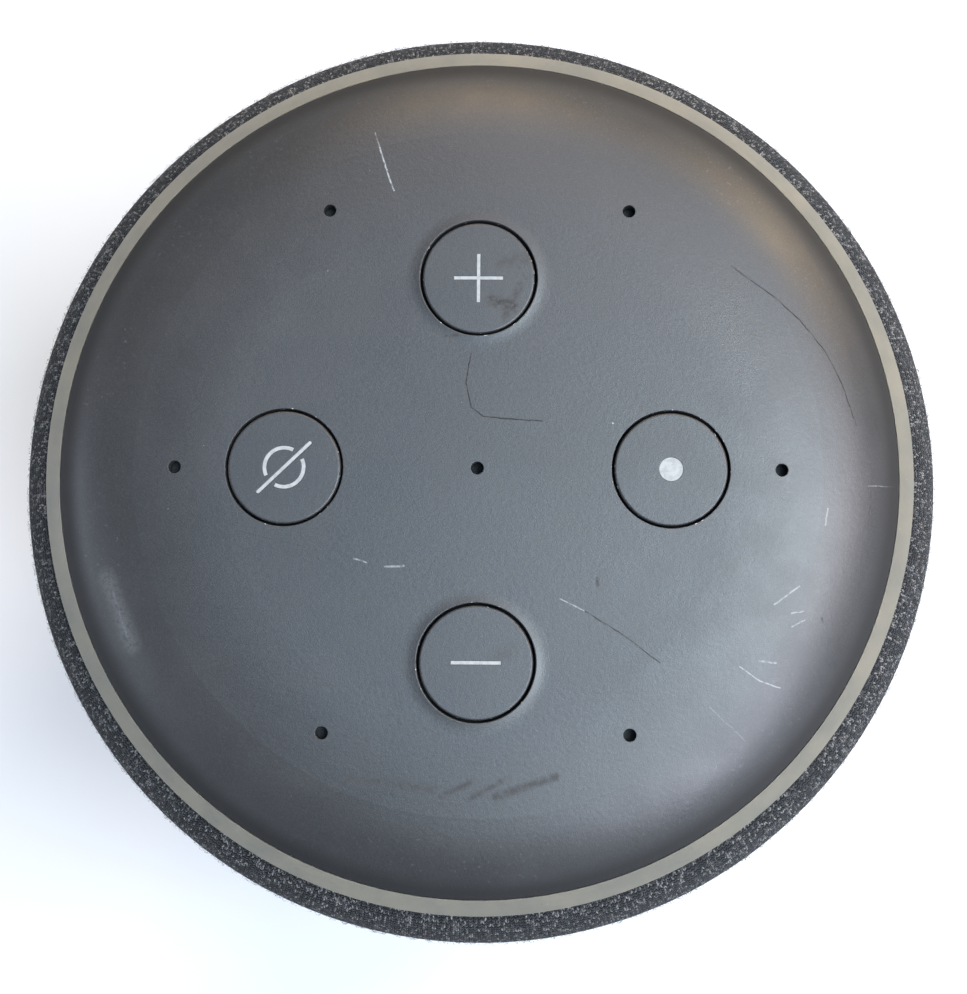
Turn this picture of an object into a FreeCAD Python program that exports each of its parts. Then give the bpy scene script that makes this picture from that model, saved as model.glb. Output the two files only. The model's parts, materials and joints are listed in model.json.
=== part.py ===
import FreeCAD, Part
import Sketcher
import math
import os

# Round tabletop smart speaker, millimetres.
# +Z is up, the origin is the centre of the underside, the front faces -Y and
# the sockets are at the back, +Y.

doc = FreeCAD.newDocument("smart_speaker")
sheet = doc.addObject("Spreadsheet::Sheet", "Sizes")

TABLE = [
    # overall
    ("height", 148.0, "top of the dome above the table"),
    ("sleeve_radius", 49.5, "outside of the fabric"),
    ("sleeve_thick", 1.2, "knitted sleeve with its backing"),
    ("shoulder_radius", 11.5, "roll of the fabric over the top edge"),
    ("shoulder_drop", 15.1, "where the side becomes vertical, below the top"),
    ("sleeve_edge_radius", 45.4, "top edge of the fabric, beside the light ring"),
    ("sleeve_foot", 2.0, "lower edge of the fabric above the table"),
    # dome cover
    ("dome_flat_radius", 26.0, "nearly flat middle of the cover"),
    ("dome_sag", 0.1759, "drop of the middle over that radius"),
    ("dome_mid_radius", 35.0, "where its shoulder tightens"),
    ("dome_mid_drop", 0.8406, "drop there"),
    ("dome_mid_arc", 75.0, "radius of the easing in between"),
    ("dome_edge_radius", 43.4, "rim of the cover"),
    ("dome_edge_drop", 4.22, "rim below the top"),
    ("dome_arc", 18.402, "radius of the cover's shoulder"),
    ("cover_under", 2.2, "flat underside below the top"),
    ("post_pitch", 34.0, "cover posts from the axis"),
    ("post_radius", 2.8, "cover post"),
    # buttons
    ("button_pitch", 19.55, "button centres from the axis"),
    ("button_hole", 6.0, "hole in the cover"),
    ("button_radius", 5.72, "cap"),
    ("button_drop", 0.12, "cap's top below the top of the dome"),
    ("flange_radius", 7.0, "retaining flange under the cover"),
    ("flange_thick", 1.2, "retaining flange"),
    ("flange_gap", 0.1, "flange below the cover's underside at rest"),
    ("cap_hollow", 4.6, "hollow under the cap"),
    ("stem_radius", 1.6, "stem in the cap"),
    ("legend_depth", 0.45, "second-shot legend"),
    ("legend_line", 0.34, "line width of the plus and the minus"),
    ("legend_length", 5.0, "length of their bars"),
    ("dot_radius", 1.2, "dot legend"),
    ("mute_ring", 1.99, "middle radius of the mute ring"),
    ("mute_line", 0.38, "line width of the mute ring"),
    ("mute_bar", 7.2, "length of the mute bar"),
    # microphones
    ("mic_circle", 30.73, "six outer microphones from the axis"),
    ("mic_hole", 0.65, "sound hole in the cover"),
    # light ring
    ("ring_in", 43.5, "light ring, inside"),
    ("ring_out", 45.3, "light ring, outside"),
    ("ring_in_drop", 4.3, "its inner edge below the top"),
    ("ring_out_drop", 5.65, "its outer edge below the top"),
    # boards
    ("board_thick", 1.6, "circuit boards"),
    ("mic_board_radius", 40.3, "microphone and light board"),
    ("mic_board_top", 141.2, "its upper face above the table"),
    ("main_board_radius", 38.0, "main board"),
    ("main_board_low", 126.0, "its lower face above the table"),
    # shell, enclosure and base
    ("shell_radius", 48.3, "inner shell, outside"),
    ("shell_wall", 1.3, "inner shell wall"),
    ("shell_low", 4.0, "inner shell's lower end"),
    ("shell_high", 128.0, "inner shell's upper end"),
    ("slot_wide", 3.4, "sound slots in the shell"),
    ("slot_low", 25.0, "their lower end"),
    ("slot_high", 49.0, "their upper end"),
    ("encl_radius", 45.0, "driver enclosure, outside"),
    ("encl_wall", 2.2, "driver enclosure wall"),
    ("encl_low", 54.0, "driver enclosure, underside"),
    ("encl_high", 122.0, "driver enclosure, top"),
    ("base_radius", 48.2, "base plate"),
    ("foot_in", 36.0, "rubber foot, inside"),
    ("foot_out", 46.2, "rubber foot, outside"),
    ("foot_thick", 1.6, "rubber foot"),
    ("plate_radius", 26.0, "recess for the rating plate"),
    # woofer
    ("woofer_flange", 41.0, "woofer basket flange"),
    ("cone_radius", 30.0, "cone, outside"),
    ("coil_radius", 12.0, "voice coil former, outside"),
    ("coil_wall", 0.3, "voice coil former"),
    ("magnet_radius", 31.0, "woofer magnet"),
    # tweeter
    ("tweeter_radius", 14.0, "tweeter housing"),
    # sockets
    ("port_x", 7.0, "sockets from the middle plane"),
    ("port_z", 13.2, "sockets above the table"),
    ("power_bore", 2.9, "mouth of the power inlet"),
    ("power_mouth", 3.0, "length of that mouth"),
    ("audio_bore", 1.8, "audio socket"),
    ("audio_depth", 14.0, "depth of the audio socket"),
]
for row, (alias, value, note) in enumerate(TABLE, start=1):
    sheet.set("A%d" % row, alias)
    sheet.set("B%d" % row, str(value))
    sheet.set("C%d" % row, note)
    sheet.setAlias("B%d" % row, alias)
doc.recompute()


class Dim:
    """A length that keeps both its value and the sheet expression behind it."""

    def __init__(self, value, text):
        self.v = float(value)
        self.t = text

    def __add__(self, other):
        o = dim(other)
        return Dim(self.v + o.v, "(%s + %s)" % (self.t, o.t))

    __radd__ = __add__

    def __sub__(self, other):
        o = dim(other)
        return Dim(self.v - o.v, "(%s - %s)" % (self.t, o.t))

    def __rsub__(self, other):
        return dim(other) - self

    def __mul__(self, other):
        o = dim(other)
        return Dim(self.v * o.v, "(%s * %s)" % (self.t, o.t))

    __rmul__ = __mul__

    def __truediv__(self, other):
        o = dim(other)
        return Dim(self.v / o.v, "(%s / %s)" % (self.t, o.t))

    def __neg__(self):
        return dim(0) - self


def dim(x):
    if isinstance(x, Dim):
        return x
    return Dim(x, "%.6f" % float(x) if float(x) >= 0 else "(0 - %.6f)" % abs(float(x)))


class Sizes:
    def __getattr__(self, name):
        return Dim(float(sheet.get(name)), "Sizes." + name)


S = Sizes()
PARTS = []


def bind(obj, prop, value):
    value = dim(value)
    if "Sizes." in value.t:
        obj.setExpression(prop, value.t)
    return value.v


def new_body(label, x=0, y=0, z=0):
    body = doc.addObject("PartDesign::Body", label)
    body.Label = label
    body.Placement = FreeCAD.Placement(FreeCAD.Vector(dim(x).v, dim(y).v, dim(z).v), FreeCAD.Rotation())
    for axis, value in (("x", x), ("y", y), ("z", z)):
        bind(body, "Placement.Base." + axis, value)
    PARTS.append(body)
    return body


def new_sketch(body, plane="XZ_Plane", lift=0):
    sk = body.newObject("Sketcher::SketchObject", body.Label + "_sketch")
    origin = [f for f in body.Origin.OriginFeatures if f.Role == plane][0]
    sk.AttachmentSupport = [(origin, "")]
    sk.MapMode = "FlatFace"
    if dim(lift).v:
        sk.AttachmentOffset = FreeCAD.Placement(FreeCAD.Vector(0, 0, dim(lift).v), FreeCAD.Rotation())
        bind(sk, "AttachmentOffset.Base.z", lift)
    return sk


def pin_point(sk, geo, pos, x, y):
    """Fix one point of a sketch by its two coordinates."""
    for kind, value, axis in (("DistanceX", dim(x), -2), ("DistanceY", dim(y), -1)):
        if abs(value.v) < 1e-9:
            sk.addConstraint(Sketcher.Constraint("PointOnObject", geo, pos, axis))
        else:
            n = sk.addConstraint(Sketcher.Constraint(kind, geo, pos, value.v))
            bind(sk, "Constraints[%d]" % n, value)


def loop(sk, points):
    """Closed outline. A point is (x, y), or (x, y, radius, side) when an arc
    leaves it; side is +1 with the arc's centre to the left of the way round."""
    made = []
    count = len(points)
    for i, p in enumerate(points):
        q = points[(i + 1) % count]
        ax, ay, bx, by = dim(p[0]).v, dim(p[1]).v, dim(q[0]).v, dim(q[1]).v
        a, b = FreeCAD.Vector(ax, ay, 0), FreeCAD.Vector(bx, by, 0)
        if len(p) == 2:
            g = sk.addGeometry(Part.LineSegment(a, b), False)
            made.append((g, 1, 2))
            continue
        radius, side = dim(p[2]), p[3]
        half = (b - a).Length / 2
        left = FreeCAD.Vector(-(by - ay), bx - ax, 0)
        left.normalize()
        centre = (a + b) * 0.5 + left * (side * math.sqrt(max(radius.v ** 2 - half ** 2, 0)))
        start, end = (a, b) if side > 0 else (b, a)
        a0 = math.atan2(start.y - centre.y, start.x - centre.x)
        a1 = math.atan2(end.y - centre.y, end.x - centre.x)
        if a1 < a0:
            a1 += 2 * math.pi
        g = sk.addGeometry(Part.ArcOfCircle(Part.Circle(centre, FreeCAD.Vector(0, 0, 1), radius.v), a0, a1), False)
        n = sk.addConstraint(Sketcher.Constraint("Radius", g, radius.v))
        bind(sk, "Constraints[%d]" % n, radius)
        made.append((g, 1, 2) if side > 0 else (g, 2, 1))
    for i, (g, first, last) in enumerate(made):
        h, hfirst, _ = made[(i + 1) % count]
        sk.addConstraint(Sketcher.Constraint("Coincident", g, last, h, hfirst))
    for (g, first, last), p in zip(made, points):
        pin_point(sk, g, first, p[0], p[1])


def circles(sk, places, radius):
    radius = dim(radius)
    for x, y in places:
        g = sk.addGeometry(Part.Circle(FreeCAD.Vector(dim(x).v, dim(y).v, 0), FreeCAD.Vector(0, 0, 1), radius.v), False)
        pin_point(sk, g, 3, x, y)
        n = sk.addConstraint(Sketcher.Constraint("Radius", g, radius.v))
        bind(sk, "Constraints[%d]" % n, radius)


def rect(sk, x0, x1, y0, y1):
    loop(sk, [(x0, y0), (x1, y0), (x1, y1), (x0, y1)])


def slot(sk, x0, x1, y0, y1):
    """Upright slot with round ends between y0 and y1."""
    r = (dim(x1) - dim(x0)) / 2
    loop(sk, [(x1, dim(y0) + r), (x1, dim(y1) - r, r * 1.002, 1), (x0, dim(y1) - r), (x0, dim(y0) + r, r * 1.002, 1)])


def turn(body, points):
    """Full revolution about Z of a closed outline in (radius, height)."""
    sk = new_sketch(body)
    loop(sk, points)
    f = body.newObject("PartDesign::Revolution", body.Label + "_turned")
    f.Profile = sk
    f.ReferenceAxis = (sk, ["V_Axis"])
    f.Angle = 360
    sk.Visibility = False
    doc.recompute()
    return f


def groove(body, points):
    before = body.Shape.Volume
    sk = new_sketch(body)
    loop(sk, points)
    f = body.newObject("PartDesign::Groove", body.Label + "_groove")
    f.Profile = sk
    f.ReferenceAxis = (sk, ["V_Axis"])
    f.Angle = 360
    doc.recompute()
    if not body.Shape.Volume < before - 1e-6:
        raise RuntimeError("groove cut nothing in " + body.Label)
    return f


def pad(body, draw, low, length, plane="XY_Plane"):
    sk = new_sketch(body, plane, low)
    draw(sk)
    f = body.newObject("PartDesign::Pad", body.Label + "_pad")
    f.Profile = sk
    f.Length = dim(length).v
    bind(f, "Length", length)
    sk.Visibility = False
    doc.recompute()
    return f


def pocket(body, draw, high, length, plane="XY_Plane", both=False, flip=False):
    """Cut downwards from `high` by `length`, or through both ways."""
    before = body.Shape.Volume
    sk = new_sketch(body, plane, high)
    draw(sk)
    f = body.newObject("PartDesign::Pocket", body.Label + "_pocket")
    f.Profile = sk
    if both:
        f.Type = "ThroughAll"
        f.Midplane = True
    else:
        f.Length = dim(length).v
        bind(f, "Length", length)
        f.Reversed = flip
    sk.Visibility = False
    doc.recompute()
    if not body.Shape.Volume < before - 1e-6:
        raise RuntimeError("pocket cut nothing in " + body.Label)
    return f


def around(body, feature, count):
    """Repeat a feature about Z; the body's tip is the pattern."""
    f = body.newObject("PartDesign::PolarPattern", body.Label + "_around")
    f.Originals = [feature]
    axis = [o for o in body.Origin.OriginFeatures if o.Role == "Z_Axis"][0]
    f.Axis = (axis, [""])
    f.Angle = 360
    f.Occurrences = count
    body.Tip = f
    doc.recompute()
    return f


def ring_places(radius, count, first=0.0):
    out = []
    for k in range(count):
        a = math.radians(first + 360.0 * k / count)
        c, s = round(math.cos(a), 9), round(math.sin(a), 9)
        out.append((dim(radius) * c if abs(c) > 1e-9 else 0, dim(radius) * s if abs(s) > 1e-9 else 0))
    return out


POSTS = (30.0, 150.0, 210.0, 330.0)


def post_places(radius):
    out = []
    for a in POSTS:
        c, s = round(math.cos(math.radians(a)), 9), round(math.sin(math.radians(a)), 9)
        out.append((dim(radius) * c, dim(radius) * s))
    return out


MICS = [(0, 0)] + ring_places(S.mic_circle, 6)
BUTTONS = {"volume_up": (0, S.button_pitch), "volume_down": (0, -S.button_pitch),
           "mute": (-S.button_pitch, 0), "action": (S.button_pitch, 0)}
TOP = S.height
UNDER = TOP - S.cover_under
BOARD_TOP = S.mic_board_top
BOARD_LOW = BOARD_TOP - S.board_thick

# ---------------------------------------------------------------- dome cover
# A thin moulded dome: almost flat in the middle, rolling down to its rim.
cover = new_body("top_cover")
big = (S.dome_flat_radius * S.dome_flat_radius + S.dome_sag * S.dome_sag) / (S.dome_sag * 2)
RIM_LOW = TOP - 5.1
turn(cover, [
    (0, UNDER), (S.dome_mid_radius - 2.4, UNDER), (S.dome_edge_radius - 8, TOP - 2.75),
    (S.dome_edge_radius - 2.6, TOP - 4.5), (S.dome_edge_radius - 2.6, RIM_LOW),
    (S.dome_edge_radius, RIM_LOW), (S.dome_edge_radius, TOP - S.dome_edge_drop, S.dome_arc, 1),
    (S.dome_mid_radius, TOP - S.dome_mid_drop, S.dome_mid_arc, 1),
    (S.dome_flat_radius, TOP - S.dome_sag, big, 1), (0, TOP)])
pad(cover, lambda sk: circles(sk, post_places(S.post_pitch), S.post_radius), BOARD_TOP, 4.4)
pocket(cover, lambda sk: circles(sk, post_places(S.post_pitch), 1.1), BOARD_TOP + 3.6, 6)
pocket(cover, lambda sk: circles(sk, list(BUTTONS.values()), S.button_hole), TOP + 1, 6)
pocket(cover, lambda sk: circles(sk, MICS, S.mic_hole), TOP + 1, 6)

# ------------------------------------------------------------------- buttons
# Each cap has a flange that the cover holds down and a stem that meets the
# switch plunger. The legend is a second shot, flush with the cap's face.
FLANGE_TOP = UNDER - S.flange_gap
FLANGE_LOW = FLANGE_TOP - S.flange_thick
CAP_TOP = TOP - S.button_drop
STEM_LOW = BOARD_TOP + 2.6


def bar(sk, long_x, long_y):
    rect(sk, -long_x / 2, long_x / 2, -long_y / 2, long_y / 2)


def draw_plus(sk):
    a, b = S.legend_length / 2, S.legend_line / 2
    loop(sk, [(b, b), (b, a), (-b, a), (-b, b), (-a, b), (-a, -b), (-b, -b), (-b, -a), (b, -a), (b, -b), (a, -b), (a, b)])


def draw_minus(sk):
    bar(sk, S.legend_length, S.legend_line)


def draw_dot(sk):
    circles(sk, [(0, 0)], S.dot_radius)


def draw_mute(sk):
    """A ring in two arcs with a bar across it."""
    outer, inner = S.mute_ring + S.mute_line / 2, S.mute_ring - S.mute_line / 2
    for a0, a1 in ((63.0, 205.0), (243.0, 385.0)):
        steps = []
        for r, a in ((outer, a0), (outer, a1), (inner, a1), (inner, a0)):
            steps.append((r * round(math.cos(math.radians(a)), 9), r * round(math.sin(math.radians(a)), 9)))
        loop(sk, [steps[0] + (outer, 1), steps[1], steps[2] + (inner, -1), steps[3]])
    half, w = S.mute_bar / 2, S.legend_line / 2
    k = round(math.cos(math.radians(44.0)), 9)
    j = round(math.sin(math.radians(44.0)), 9)
    loop(sk, [(-half * k + w * j, -half * j - w * k), (half * k + w * j, half * j - w * k, w * 1.001, 1),
              (half * k - w * j, half * j + w * k), (-half * k - w * j, -half * j + w * k, w * 1.001, 1)])


LEGENDS = {"volume_up": ("plus_legend", draw_plus), "volume_down": ("minus_legend", draw_minus),
           "mute": ("mute_legend", draw_mute), "action": ("dot_legend", draw_dot)}
for name, (x, y) in BUTTONS.items():
    cap = new_body(name + "_button", x, y)
    turn(cap, [
        (0, STEM_LOW), (S.stem_radius, STEM_LOW), (S.stem_radius, CAP_TOP - 1.3),
        (S.cap_hollow, CAP_TOP - 1.3), (S.cap_hollow, FLANGE_LOW), (S.flange_radius, FLANGE_LOW),
        (S.flange_radius, FLANGE_TOP), (S.button_radius, FLANGE_TOP),
        (S.button_radius, CAP_TOP - 0.22, 0.2, 1), (S.button_radius - 0.2, CAP_TOP - 0.02, 800.0, 1), (0, CAP_TOP)])
    legend_name, draw = LEGENDS[name]
    pocket(cap, draw, CAP_TOP + 0.5, S.legend_depth + 0.5)
    legend = new_body(legend_name, x, y)
    pad(legend, draw, CAP_TOP - S.legend_depth, S.legend_depth - 0.02)
    plunger = new_body(name + "_plunger", x, y)
    turn(plunger, [(0, BOARD_TOP + 0.95), (1.05, BOARD_TOP + 0.95), (1.05, BOARD_TOP + 2.5),
                   (0.95, STEM_LOW), (0, STEM_LOW)])
    boot = new_body(name + "_boot", x, y)
    turn(boot, [(4.9, BOARD_TOP), (6.7, BOARD_TOP), (6.7, BOARD_TOP + 0.7), (6.1, FLANGE_LOW - 0.6),
                (6.7, FLANGE_LOW - 0.6), (6.7, FLANGE_LOW), (4.9, FLANGE_LOW), (4.9, FLANGE_LOW - 0.6), (5.6, FLANGE_LOW - 0.6),
                (5.4, BOARD_TOP + 0.7), (4.9, BOARD_TOP + 0.7)])

switches = new_body("switch_housings")


def draw_switches(sk):
    for x, y in BUTTONS.values():
        rect(sk, dim(x) - 3, dim(x) + 3, dim(y) - 3, dim(y) + 3)


pad(switches, draw_switches, BOARD_TOP, 2.0)
pocket(switches, lambda sk: circles(sk, list(BUTTONS.values()), 1.15), BOARD_TOP + 3, 2.75)

# ------------------------------------------- light ring, reflector and frame
# The ring is a light guide with a foot that reaches in to the side-firing lamps.
FOOT_TOP, FOOT_LOW, RING_SEAT = RIM_LOW, RIM_LOW - 2.0, TOP - 8.8
light = new_body("light_ring")
turn(light, [
    (S.ring_out, RING_SEAT), (S.ring_out, TOP - S.ring_out_drop, 14.0, 1), (S.ring_in, TOP - S.ring_in_drop),
    (S.ring_in, FOOT_TOP), (S.dome_edge_radius - 2.5, FOOT_TOP), (S.dome_edge_radius - 2.5, FOOT_LOW),
    (S.ring_in, FOOT_LOW), (S.ring_in, RING_SEAT)])

reflector_ring = new_body("ring_reflector")
turn(reflector_ring, [(40.9, FOOT_LOW - 1), (43.0, FOOT_LOW - 1), (43.0, FOOT_LOW), (40.9, FOOT_LOW)])

# The top frame carries the ring and the microphone board and backs the
# rolled edge of the fabric.
SIDE_TOP = TOP - S.shoulder_drop
INNER_ARC = S.shoulder_radius - S.sleeve_thick
edge_in = math.sqrt(INNER_ARC.v ** 2 - (S.sleeve_edge_radius.v - S.sleeve_radius.v + S.shoulder_radius.v) ** 2)
edge_out = math.sqrt(S.shoulder_radius.v ** 2 - (S.sleeve_edge_radius.v - S.sleeve_radius.v + S.shoulder_radius.v) ** 2)
frame = new_body("top_frame")
turn(frame, [
    (45.6, 124.0), (46.9, 124.0), (46.9, S.shell_high), (S.shell_radius, S.shell_high),
    (S.shell_radius, SIDE_TOP, INNER_ARC, 1), (S.sleeve_edge_radius, SIDE_TOP + edge_in),
    (S.sleeve_edge_radius, RING_SEAT), (43.2, RING_SEAT), (43.2, FOOT_LOW - 1), (40.7, FOOT_LOW - 1),
    (40.7, 137.2), (28.0, 137.2), (28.0, 135.6), (44.2, 135.6), (45.6, 134.2)])
pad(frame, lambda sk: circles(sk, post_places(S.post_pitch), 3.2), 137.0, BOARD_LOW - 137.0)
pocket(frame, lambda sk: circles(sk, post_places(S.post_pitch), 1.1), 141.0, 10)

cover_screws = new_body("cover_screws")
pad(cover_screws, lambda sk: circles(sk, post_places(S.post_pitch), 1.1), 135.0, 9.5)
pad(cover_screws, lambda sk: circles(sk, post_places(S.post_pitch), 2.1), 134.2, 1.4)
pocket(cover_screws, lambda sk: circles(sk, post_places(S.post_pitch), 0.8), 134.2, 0.8, flip=True)

# ------------------------------------------------- microphone and light board
mic_board = new_body("mic_board")
pad(mic_board, lambda sk: circles(sk, [(0, 0)], S.mic_board_radius), BOARD_LOW, S.board_thick)
pocket(mic_board, lambda sk: circles(sk, post_places(S.post_pitch), 1.1), BOARD_TOP + 1, 4)

microphones = new_body("microphones")


def draw_mics(sk):
    for x, y in MICS:
        rect(sk, dim(x) - 1.9, dim(x) + 1.9, dim(y) - 1.4, dim(y) + 1.4)


pad(microphones, draw_mics, BOARD_TOP, 1.1)
pocket(microphones, lambda sk: circles(sk, MICS, 0.4), BOARD_TOP + 2, 1.6)

gaskets = new_body("microphone_gaskets")
pad(gaskets, lambda sk: circles(sk, MICS, 1.75), BOARD_TOP + 1.1, UNDER - BOARD_TOP - 1.1)
# Its top is a thin acoustic mesh that keeps dust out of the microphone.
pocket(gaskets, lambda sk: circles(sk, MICS, 0.9), BOARD_TOP + 1.1, UNDER - BOARD_TOP - 1.4, flip=True)

# Twelve side-firing lamps facing the light guide's foot.
lamps = new_body("ring_leds")
lamp = pad(lamps, lambda sk: rect(sk, 38.3, 40.2, -1.5, 1.5), BOARD_TOP, 1.1)
around(lamps, lamp, 12)

# Flat cable from the upper board down to the main board.
ribbon = new_body("ribbon_cable")
pad(ribbon, lambda sk: loop(sk, [(20.0, BOARD_LOW), (20.0, 132.0), (21.6, 129.6), (21.6, S.main_board_low + S.board_thick),
                                 (22.0, S.main_board_low + S.board_thick), (22.0, 129.8), (20.4, 132.2), (20.4, BOARD_LOW)]),
    -6, 12, plane="XZ_Plane")

# ---------------------------------------------------------------- main board
main_board = new_body("main_board")
MAIN_TOP = S.main_board_low + S.board_thick
STANDOFFS = ring_places(33.0, 4, 45)
pad(main_board, lambda sk: circles(sk, [(0, 0)], S.main_board_radius), S.main_board_low, S.board_thick)
pocket(main_board, lambda sk: circles(sk, STANDOFFS, 1.3), MAIN_TOP + 1, 4)

board_screws = new_body("board_screws")
pad(board_screws, lambda sk: circles(sk, STANDOFFS, 1.3), S.encl_high + 0.5, MAIN_TOP - S.encl_high - 0.5)
pad(board_screws, lambda sk: circles(sk, STANDOFFS, 2.5), MAIN_TOP, 1.5)
pocket(board_screws, lambda sk: circles(sk, STANDOFFS, 1.0), MAIN_TOP + 2, 1.4)

cans = new_body("shield_cans")
pad(cans, lambda sk: (rect(sk, -17.0, 3.0, -11.0, 11.0), rect(sk, 6.0, 18.0, -20.0, -8.0)), MAIN_TOP, 2.2)
pocket(cans, lambda sk: (rect(sk, -16.6, 2.6, -10.6, 10.6), rect(sk, 6.4, 17.6, -19.6, -8.4)), MAIN_TOP, 1.8, flip=True)

pad_body = new_body("thermal_pad")
pad(pad_body, lambda sk: rect(sk, -15.0, 1.0, -9.0, 9.0), MAIN_TOP + 2.2, 0.5)

sink = new_body("heat_sink")
pad(sink, lambda sk: rect(sk, -24.0, 3.0, -16.0, 16.0), MAIN_TOP + 2.7, 1.2)
pad(sink, lambda sk: [rect(sk, -24.0 + 3.0 * k, -23.0 + 3.0 * k, -16.0, 16.0) for k in range(9)], MAIN_TOP + 3.8, 3.4)

antennas = new_body("wifi_antennas")
pad(antennas, lambda sk: (rect(sk, 42.0, 43.0, -8.0, 8.0), rect(sk, -43.0, -42.0, -8.0, 8.0)), S.encl_high, 11.0)

# --------------------------------------------------------- driver enclosure
# Closed back volume of the woofer; its flange locates it in the inner shell.
encl = new_body("driver_enclosure")
inner = S.encl_radius - S.encl_wall
turn(encl, [
    (S.woofer_flange - 7.2, S.encl_low), (46.9, S.encl_low), (46.9, S.encl_low + 3), (S.encl_radius, S.encl_low + 3),
    (S.encl_radius, S.encl_high), (0, S.encl_high), (0, S.encl_high - 2.4), (inner, S.encl_high - 2.4),
    (inner, S.encl_low + 3), (S.woofer_flange - 7.2, S.encl_low + 3)])
pad(encl, lambda sk: circles(sk, STANDOFFS, 3.0), S.encl_high - 1, S.main_board_low - S.encl_high + 1)
pocket(encl, lambda sk: circles(sk, STANDOFFS, 1.3), S.main_board_low + 1, S.main_board_low - S.encl_high + 0.5)
WOOFER_HOLES = ring_places(38.0, 6, 0)
pocket(encl, lambda sk: circles(sk, WOOFER_HOLES, 1.3), S.encl_low, 2.6, flip=True)

# ------------------------------------------------------------------- woofer
# Down-firing: the flange screws up to the enclosure, the magnet is on top.
FL = S.encl_low
basket = new_body("woofer_basket")
turn(basket, [
    (33.2, FL - 2), (S.woofer_flange, FL - 2), (S.woofer_flange, FL), (33.7, FL), (33.7, FL + 3),
    (30.5, FL + 13.0), (27.0, FL + 15.0), (27.0, FL + 21.6), (13.2, FL + 21.6), (13.2, FL + 20.0), (25.4, FL + 20.0),
    (25.4, FL + 13.4), (22.5, FL + 13.4), (22.5, FL + 12.0), (29.4, FL + 12.0), (32.3, FL + 2.6), (32.3, FL - 0.6), (33.2, FL - 0.6)])
window = pocket(basket, lambda sk: rect(sk, -5.0, 5.0, FL + 4.2, FL + 11.0), 0, 60, plane="XZ_Plane")
around(basket, window, 6)
pocket(basket, lambda sk: circles(sk, WOOFER_HOLES, 1.6), FL + 1, 4)

woofer_screws = new_body("woofer_screws")
pad(woofer_screws, lambda sk: circles(sk, WOOFER_HOLES, 1.3), FL - 2.2, 4.4)
pad(woofer_screws, lambda sk: circles(sk, WOOFER_HOLES, 2.7), FL - 3.6, 1.6)
pocket(woofer_screws, lambda sk: circles(sk, WOOFER_HOLES, 1.0), FL - 3.6, 1.0, flip=True)

# Half-roll rubber surround, glued to the flange and to the cone's rim.
surround = new_body("woofer_surround")
turn(surround, [
    (S.cone_radius - 1.0, FL - 1.4), (S.cone_radius, FL - 1.4, 1.33, 1), (S.cone_radius + 2.6, FL - 1.4),
    (S.cone_radius + 3.2, FL - 1.4), (S.cone_radius + 3.2, FL - 0.9), (S.cone_radius + 2.2, FL - 0.9, 0.93, -1),
    (S.cone_radius + 0.4, FL - 0.9), (S.cone_radius - 1.0, FL - 0.9)])

cone = new_body("woofer_cone")
NECK = FL + 9.0
turn(cone, [
    (S.cone_radius, FL - 0.9), (S.cone_radius, FL - 0.3), (S.cone_radius - 1.4, FL - 0.3, 60.0, 1), (S.coil_radius + 0.6, NECK + 0.5),
    (S.coil_radius, NECK + 0.5), (S.coil_radius, NECK - 0.3), (S.coil_radius + 0.4, NECK - 0.3, 60.0, -1), (S.cone_radius - 1.2, FL - 0.9)])

dust_cap = new_body("woofer_dust_cap")
turn(dust_cap, [(0, FL + 4.6), (0, FL + 5.1, 20.17, 1), (S.coil_radius - 0.5, FL + 8.7), (S.coil_radius, FL + 8.7),
                (S.coil_radius, FL + 8.2, 21.8, -1)])

coil = new_body("woofer_voice_coil")
turn(coil, [
    (S.coil_radius - S.coil_wall, FL + 8.7), (S.coil_radius, FL + 8.7), (S.coil_radius, FL + 19.5), (S.coil_radius + 0.5, FL + 19.5),
    (S.coil_radius + 0.5, FL + 28.0), (S.coil_radius - S.coil_wall, FL + 28.0)])

spider = new_body("woofer_spider")
turn(spider, [
    (S.coil_radius, FL + 11.4), (15.0, FL + 11.0), (17.5, FL + 11.8), (20.0, FL + 11.0), (22.6, FL + 11.4), (25.6, FL + 11.4),
    (25.6, FL + 12.0), (22.6, FL + 12.0), (20.0, FL + 11.6), (17.5, FL + 12.4), (15.0, FL + 11.6), (S.coil_radius, FL + 12.0)])

front_plate = new_body("woofer_top_plate")
turn(front_plate, [(13.0, FL + 21.6), (29.0, FL + 21.6), (29.0, FL + 25.6), (13.0, FL + 25.6)])

magnet = new_body("woofer_magnet")
turn(magnet, [(16.0, FL + 25.6), (S.magnet_radius, FL + 25.6), (S.magnet_radius, FL + 35.6), (16.0, FL + 35.6)])

yoke = new_body("woofer_yoke")
turn(yoke, [(4.0, FL + 21.0), (11.2, FL + 21.0), (11.2, FL + 34.6), (12.2, FL + 35.6), (29.0, FL + 35.6), (29.0, FL + 39.6), (4.0, FL + 39.6)])

# ------------------------------------------------------------------ tweeter
# Hangs under the woofer on a three-armed bracket and fires down at the cone.
TW = FL - 20.0
T = S.tweeter_radius
bracket = new_body("tweeter_bracket")
turn(bracket, [(T, FL - 9.0), (T + 2.2, FL - 9.0), (T + 2.2, FL - 6.0), (T, FL - 6.0)])
arm = pad(bracket, lambda sk: rect(sk, T + 1, 44.0, -2.5, 2.5), FL - 9.0, 3.0)
around(bracket, arm, 3)
heel = pad(bracket, lambda sk: rect(sk, 42.2, 46.8, -2.5, 2.5), FL - 9.0, 9.0)
around(bracket, heel, 3)

housing = new_body("tweeter_housing")
turn(housing, [
    (T - 1.4, TW + 2.4), (T, TW + 2.4), (T, TW + 14.0), (0, TW + 14.0), (0, TW + 12.6), (T - 1.4, TW + 12.6)])

t_magnet = new_body("tweeter_magnet")
turn(t_magnet, [(0, TW + 4.6), (8.6, TW + 4.6), (8.6, TW + 9.2), (11.0, TW + 9.2), (11.0, TW + 12.6), (0, TW + 12.6)])

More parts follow.
